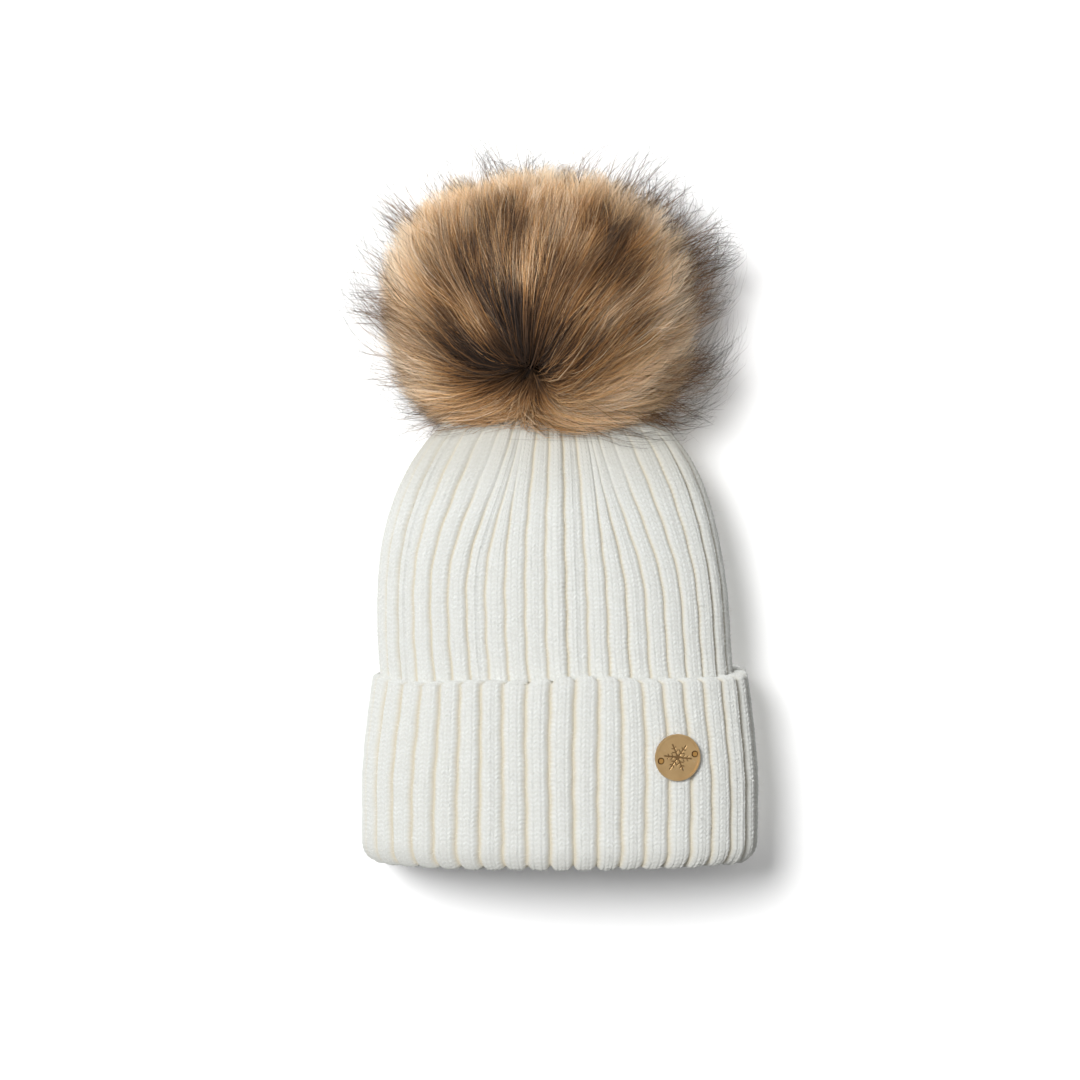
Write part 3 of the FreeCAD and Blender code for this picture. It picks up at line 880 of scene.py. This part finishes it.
def lightness(path, grain, bold):
    """How light each point of a strand is: dark at the roots, whorl and dark locks, light at the rim. The
    rim's lightness is partly the tips' own tan and partly painted light on strands that face sideways, with
    less of it underneath as painted shade.
    """
    away = path - PILE_CENTRE
    direction = unit(away)
    angle = np.arccos(np.clip(direction @ WHORL, -1, 1))
    x, z = np.abs(away[..., 0]) / PILE_SIZE[0], np.abs(away[..., 2]) / PILE_SIZE[2]
    # Light rim: partly the tan tips, partly painted light for strands that face away from the lamps.
    rim = smooth((x ** 2.8 + z ** 2.8) ** (1 / 2.8), 0.50, 0.96)
    # Painted shade: less of that rim light on the underside, where less light falls.
    rim = rim * (1 - 0.25 * smooth(-direction[..., 2], 0.3, 0.7))
    rim = np.maximum(rim, 0.6 * smooth(away[..., 1], 0, 40 * MM))
    light = 0.04 + 0.38 * smooth(angle, 0.06, 0.85) + 0.52 * rim
    light = light - 0.25 * bold[:, None] * lock_field(path, DARK_LOCKS) * (1 - 0.75 * rim)
    light = light + 0.24 * bold[:, None] * lock_field(path, CREAM_LOCKS) * (1 - rim)
    along = np.linspace(0, 1, path.shape[1])
    light = light + grain[:, None] * smooth(along, 0.1, 0.6) * (1 - 0.5 * rim)
    return np.clip(light * (0.25 + 0.75 * smooth(along, 0.05, 0.55)), 0.01, 0.99)


def strands(roots_dir, lay, tip_radius, aside, phase, draw, wave, steps, lowest=LOWEST):
    """Strands that rise from the core and lie over away from the whorl: (count, steps, 3)."""
    count = len(roots_dir)
    t = np.linspace(0, 1, steps)
    grow = 1 - (1 - t) ** 1.9
    path = np.empty((count, steps, 3))
    core = np.array([AXIS_X - 1 * MM, -4 * MM, CORE_Z - 6 * MM])
    lowest = draw.uniform(*lowest, count)
    for step in range(steps):
        direction = unit(combed(roots_dir, lay * t[step] ** 1.9) + aside * t[step] ** 2)
        direction = hanging(direction, lowest)
        reach = pile_reach(direction)
        droop = smooth(-direction[:, 2], 0.1, 0.7) * 28 * MM * np.abs(direction[:, 1])
        radius = 0.96 * CORE + (reach * tip_radius - 0.96 * CORE) * grow[step]
        centre = core + (PILE_CENTRE - core) * grow[step]
        path[:, step] = centre + direction * radius[:, None]
        path[:, step, 2] -= droop * grow[step] ** 2
    run = path[:, -1] - path[:, 0]
    side = unit(np.cross(run, np.array([0.3, 1.0, 0.2]) + 0.4 * draw.normal(size=(count, 3))))
    turns = draw.uniform(0.5, 1.0, count)[:, None, None]
    ripple = np.sin(t[None, :, None] * TAU * turns + phase[:, None, None])
    return path + side[:, None] * ripple * t[None, :, None] * wave


def strip_mesh(name, path, width, tone=0.5, light=None, normals=None):
    """Flat tapered strips, each turned a little about its own length. Draws from its own name's seed."""
    draw = np.random.default_rng(sum(name.encode()))
    count, steps, _ = path.shape
    along = np.linspace(0, 1, steps)
    direction = unit(np.gradient(path, axis=1))
    outward = unit(path - PILE_CENTRE) if normals is None else np.repeat(normals[:, None], steps, axis=1)
    across = unit(np.cross(direction, outward) + 1e-6)
    lift = np.cross(direction, across)
    roll = draw.normal(0, 0.6, count)[:, None, None]
    across = across * np.cos(roll) + lift * np.sin(roll)
    taper = np.minimum(1, 1.15 - along ** 2.2)[None, :, None]
    half = 0.5 * width[:, None, None] * taper * across
    sides = np.stack([(path - half)[:, :-1], (path + half)[:, :-1]], axis=2).reshape(count, -1, 3)
    points = np.concatenate([sides, path[:, -1:]], axis=1)
    per = points.shape[1]
    facing = outward.copy()
    if normals is None:
        facing[..., 1] += 0.9 * np.tanh((path[..., 1] - PILE_CENTRE[1]) / (15 * MM))
    facing = unit(facing + draw.normal(0, 0.28, (count, 1, 3)))
    facing = np.concatenate([np.repeat(facing[:, :-1], 2, axis=1), facing[:, -1:]], axis=1)
    base = (np.arange(count) * per)[:, None, None]
    seg = np.arange(steps - 2)[None, :, None] * 2
    quads = (base + seg + np.array([0, 1, 3, 2])[None, None]).reshape(-1, 4)
    last = 2 * (steps - 2)
    tris = (base[:, 0] + np.array([last, last + 1, per - 1])[None]).reshape(-1, 3)
    u = np.empty((count, per))
    column = (np.floor(tone * FUR_TONES) + 0.5) / FUR_TONES * np.ones(count)
    sliver = 0.35 / FUR_TONES
    u[:, 0:-1:2] = column[:, None] - sliver
    u[:, 1:-1:2] = column[:, None] + sliver
    u[:, -1] = column
    rise = np.broadcast_to(0.01 + 0.98 * along, (count, steps)) if light is None else light
    v = np.concatenate([np.repeat(rise[:, :-1], 2, axis=1), rise[:, -1:]], axis=1)
    corners = np.concatenate([quads.ravel(), tris.ravel()])
    uv = np.stack([u.ravel()[corners], v.ravel()[corners]], axis=1)
    return mesh_object(name, points.reshape(-1, 3), [quads, tris], uv, facing.reshape(-1, 3))


def fur_piece(name, path, width, material, tone=0.5, light=None):
    piece = strip_mesh(name, path, width, tone, light)
    finish_piece(piece, "pom", material, "fur", "pom_fur")


def nearest(points, centres):
    """Index of the nearest centre for each direction."""
    found = np.empty(len(points), dtype=int)
    for start in range(0, len(points), 4000):
        found[start:start + 4000] = np.argmax(points[start:start + 4000] @ centres.T, axis=1)
    return found


def lay_angle(angle):
    """How far strands lie over, by their root's angle from the whorl."""
    return 1.2 * np.exp(-(angle / 1.2) ** 2)


def pole_biased(count, draw):
    """Root directions, closer together near the whorl, where the strands fan out."""
    roots = sphere_points(3 * count, draw)
    keep = draw.uniform(size=len(roots)) < 0.3 + 0.7 * np.exp(-((1 - roots @ WHORL) / 0.5))
    return roots[keep][:count]


def make_underfur(material):
    """The dense, combed pile, drawn together in tufts."""
    draw = np.random.default_rng(21)
    tufts = pole_biased(2200, draw)
    tuft_tone = draw.uniform(0.16, 0.84, len(tufts))
    tuft_grain = draw.normal(0, 0.12, len(tufts))
    tuft_bold = draw.uniform(0.3, 1.5, len(tufts))
    tuft_lay = draw.uniform(0.5, 1.08, len(tufts))
    tuft_aside = draw.normal(0, 0.10, (len(tufts), 3))
    tuft_radius = draw.uniform(0.91, 1.02, len(tufts))
    tuft_phase = draw.uniform(0, TAU, len(tufts))
    pieces, per_piece, steps = 10, 15000, 8
    for number in range(pieces):
        roots = pole_biased(per_piece, draw)
        count = len(roots)
        owner = nearest(roots, tufts)
        angle = np.arccos(np.clip(roots @ WHORL, -1, 1))
        lay = lay_angle(angle) * tuft_lay[owner] * draw.uniform(0.85, 1.1, count)
        aside = tuft_aside[owner] + draw.normal(0, 0.04, (count, 3))
        inward = 0.45 * (tufts[owner] - roots)
        radius = tuft_radius[owner] * draw.uniform(0.84, 1.02, count)
        phase = tuft_phase[owner] + draw.normal(0, 0.6, count)
        path = strands(roots, lay, radius, aside + inward, phase, draw, 2.0 * MM, steps)
        path = clear_of_crown(over_the_crown(path), 3 * MM)
        middle_of = path[:, steps // 2]
        tone = tuft_tone[owner] + draw.normal(0, 0.17, count)
        tone = tone - 0.35 * lock_field(middle_of, DARK_LOCKS) + 0.35 * lock_field(middle_of, CREAM_LOCKS)
        grain = tuft_grain[owner] + draw.normal(0, 0.12, count)
        width = draw.uniform(0.13, 0.33, count) * MM
        fur_piece("fur_pile_%d" % (number + 1), path, width, material, np.clip(tone, 0.02, 0.98),
                  lightness(path, grain, tuft_bold[owner]))


def over_the_crown(path):
    """Lets the middle of the pile's lower edge hang over the front of the crown."""
    below = smooth(PILE_CENTRE[2] - path[..., 2], 18 * MM, 50 * MM)
    ahead = smooth(-path[..., 1], 0, 30 * MM)
    path[..., 2] -= 6.5 * MM * np.exp(-((path[..., 0] - AXIS_X) / (22 * MM)) ** 2) * below * ahead
    return path


FRINGE_ACROSS, FRINGE_DEEP = 112 * MM, 78 * MM      # how far it may reach from the hat's middle
FRINGE_ABOVE = 19 * MM                              # and above the pile


def within_reach(path):
    """Shortens the strands that would reach further out than the pile's fringe may."""
    high = np.array([FRINGE_ACROSS, FRINGE_DEEP, PILE_TOP + FRINGE_ABOVE])
    low = np.array([-FRINGE_ACROSS, -FRINGE_DEEP, -1.0])
    away = path - PILE_CENTRE
    room = np.where(away > 0, high - PILE_CENTRE, PILE_CENTRE - low) / np.maximum(np.abs(away), 1e-6)
    share = np.clip(room.min(axis=(1, 2)), 0, 1)
    return PILE_CENTRE + away * share[:, None, None]


def make_guard_hairs(material):
    """Longer, thinner hairs with dark tips: a fringe on the right, and wisps elsewhere round the rim."""
    draw = np.random.default_rng(77)
    tufts = sphere_points(420, draw)
    right = np.clip(tufts @ unit(np.array([0.95, 0.1, 0.0])), 0, 1) ** 1.2
    wisp = draw.uniform(size=len(tufts)) < 0.30
    tuft_long = draw.uniform(1.06, 1.22, len(tufts)) + 0.10 * np.maximum(right, wisp)
    tuft_aside = draw.normal(0, 0.14, (len(tufts), 3))
    tuft_full = 0.05 + 0.55 * wisp + 0.85 * right
    steps = 9
    roots = sphere_points(26000, draw)
    owner = nearest(roots, tufts)
    angle = np.arccos(np.clip(roots @ WHORL, -1, 1))
    lay = lay_angle(angle) * draw.uniform(0.7, 1.1, len(roots))
    tip = combed(roots, lay)
    full = tuft_full[owner] * (1 - smooth(-tip[:, 1], 0.0, 0.35)) + 0.07 * smooth(-tip[:, 2], 0.55, 0.75)
    keep = draw.uniform(size=len(roots)) < full
    roots, owner, lay = roots[keep], owner[keep], lay[keep]
    count = len(roots)
    aside = tuft_aside[owner] + draw.normal(0, 0.06, (count, 3)) + 0.6 * (tufts[owner] - roots)
    radius = tuft_long[owner] * draw.uniform(0.80, 1.04, count)
    path = strands(roots, lay, radius, aside, draw.uniform(0, TAU, count), draw, 3.2 * MM, steps,
                   lowest=(-0.95, -0.75))
    path = clear_of_crown(within_reach(path), 3 * MM)
    fur_piece("fur_guard_hairs", path, draw.uniform(0.14, 0.25, count) * MM, material)


def make_fur_mat(material):
    """The dark felted roots that show between the strands."""
    rows, columns = 90, 140
    turn, tilt = np.meshgrid(np.linspace(0, TAU, columns + 1), np.linspace(0.02, math.pi - 0.02, rows))
    ball = np.stack([np.sin(tilt) * np.cos(turn), np.sin(tilt) * np.sin(turn), np.cos(tilt)], axis=-1)
    lumps = 1 + 0.05 * np.sin(9 * ball[..., 0] + 3) * np.sin(8 * ball[..., 1]) * np.sin(7 * ball[..., 2] + 1)
    size = 0.60 * PILE_SIZE
    points = np.array([AXIS_X, 0, CORE_Z + 6 * MM]) + ball * size * lumps[..., None]
    points = clear_of_crown(points, 6 * MM)
    normals = -grid_normals(points, True, False)
    piece = grid_piece("fur_root_mat", points, normals, {}, np.arange(rows - 1, -1, -1),
                       np.arange(columns + 1))
    finish_piece(piece, "pom", material, "fur", "pom_fur")


# Carried-over CAD nodes

def paint(node, material):
    """Gives a CAD node's object its looks, without touching its mesh."""
    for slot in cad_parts[node].material_slots:
        slot.link = "OBJECT"
        slot.material = material


def paint_nodes():
    thread = thread_material("ivory_thread", (226, 222, 210))
    cord = thread_material("brown_cord", (92, 66, 46))
    tape = thread_material("woven_tape", (240, 239, 234), 900)
    felt = felt_material("ivory_felt", (232, 228, 214))
    brown_felt = felt_material("brown_felt", (96, 68, 46))
    wadding = felt_material("white_wadding", (236, 236, 232))
    backing = felt_material("fur_backing", (74, 50, 33))
    steel = metal_material("snap_steel", (190, 188, 184), 0.22)
    brass = badge_material()
    rivet = metal_material("rivet_brass", (196, 150, 88), 0.2)
    looks = {
        "back_seam": thread, "crown_dart_seams": thread, "gather_cord": thread, "care_label": tape,
        "crown_patch": felt, "pom_base": brown_felt, "pom_filling": wadding, "pom_skin": backing,
        "pom_drawstring": cord, "snap_socket": steel, "snap_socket_cap": steel, "snap_spring": steel,
        "snap_stud": steel, "snap_stud_cap": steel, "badge_disc": brass, "badge_rivets": rivet,
        "badge_washers": rivet,
    }
    for node, material in looks.items():
        paint(node, material)


# Studio

def aim(obj, target):
    obj.rotation_euler = (Vector(target) - obj.location).to_track_quat("-Z", "Y").to_euler()


def area_light(name, place, target, size, power):
    """A soft round light."""
    data = bpy.data.lights.new(name, "AREA")
    data.shape = "DISK"
    data.size = size
    data.energy = power
    obj = bpy.data.objects.new(name, data)
    obj.location = place
    aim(obj, target)
    bpy.context.scene.collection.objects.link(obj)


def sheet(name, centre, normal, least, lift):
    """A white sheet, seen only while the camera's axis meets it at a cosine above least. Lift adds white."""
    mesh = bpy.data.meshes.new(name)
    far = 6.0
    mesh.from_pydata([(-far, -far, 0), (far, -far, 0), (far, far, 0), (-far, far, 0)], [], [(0, 1, 2, 3)])
    obj = bpy.data.objects.new(name, mesh)
    obj.location = centre
    obj.rotation_euler = Vector(normal).to_track_quat("Z", "Y").to_euler()
    bpy.context.scene.collection.objects.link(obj)
    n = Nodes(name)
    n.set(Base_Color=(1, 1, 1, 1), Roughness=1.0, Specular_IOR_Level=0.0, Emission_Color=(1, 1, 1, 1),
          Emission_Strength=lift)
    axis = n.add("ShaderNodeVectorTransform", vector_type="VECTOR", convert_from="CAMERA", convert_to="WORLD")
    axis.inputs["Vector"].default_value = (0, 0, 1)
    square_on = n.maths("ABSOLUTE", n.dot(axis.outputs["Vector"], normal))
    in_front = n.dot(n.add("ShaderNodeNewGeometry").outputs["Incoming"], normal)
    seen = n.add("ShaderNodeLightPath").outputs["Is Camera Ray"]
    for value, limit in ((square_on, least), (in_front, 0.0)):
        seen = n.times(seen, n.maths("GREATER_THAN", value, limit))
    mix = n.add("ShaderNodeMixShader")
    clear = n.add("ShaderNodeBsdfTransparent")
    for socket, value in zip(mix.inputs, (seen, clear.outputs[0], n.main.outputs[0])):
        n.feed(socket, value)
    n.feed(n.tree.nodes["Material Output"].inputs["Surface"], mix.outputs[0])
    mesh.materials.append(n.owner)


def world_light(strength):
    """An even sky: soft light, pure white behind the object, and graded where metal mirrors it."""
    n = Nodes("studio", bpy.data.worlds, "Background")
    bpy.context.scene.world = n.owner
    rays = n.add("ShaderNodeLightPath").outputs
    mirrored = n.ranged(n.split(n.place("Generated"))["Z"], -0.5, 0.5, 0.25, 1.1)
    level = n.mix(rays["Is Glossy Ray"], strength, mirrored, "FLOAT")
    level = n.mix(rays["Is Camera Ray"], level, 1.0, "FLOAT")
    n.set(Color=(1, 1, 1, 1), Strength=level)


def camera():
    """Square on to the front, with the hat in the middle of the frame."""
    data = bpy.data.cameras.new("camera")
    distance, frame_width = 1.103, 0.540
    data.sensor_width = 36
    data.lens = data.sensor_width * distance / frame_width
    obj = bpy.data.objects.new("camera", data)
    obj.location = (-9.5 * MM, -distance, 158 * MM)
    obj.rotation_euler = (math.pi / 2, 0, 0)
    bpy.context.scene.collection.objects.link(obj)
    bpy.context.scene.camera = obj


knit = knit_material()
fuzz = fuzz_material()
cuff_surface = make_cuff(knit)
body_surface = make_body(knit)
make_lining(knit)
make_button(knit)
make_fuzz("cuff_fuzz", cuff_surface, "cuff", 16000, 51, fuzz, "cuff")
make_fuzz("body_fuzz", body_surface, "hat", 16000, 52, fuzz, "knit_body")
make_fur_mat(root_material())
make_underfur(fur_material())
make_guard_hairs(guard_material())
paint_nodes()

world_light(0.38)
area_light("key", (-0.80, -1.86, 0.72), (0, 0, 0.12), 0.9, 50)
area_light("side_fill", (1.5, 0.65, 0.4), (0, 0, 0.16), 0.9, 8)
area_light("back_fill", (0.5, 1.9, 0.9), (0, 0, 0.16), 1.2, 34)
sheet("backdrop", (0, 0.6 * CUFF_DEEP, 0), (0, -1, 0), 0.985, 0.0)
sheet("floor", (0, 0, -0.5 * MM), (0, 0, 1), 0.2, 0.60)
camera()
bpy.context.scene.view_settings.view_transform = "Standard"
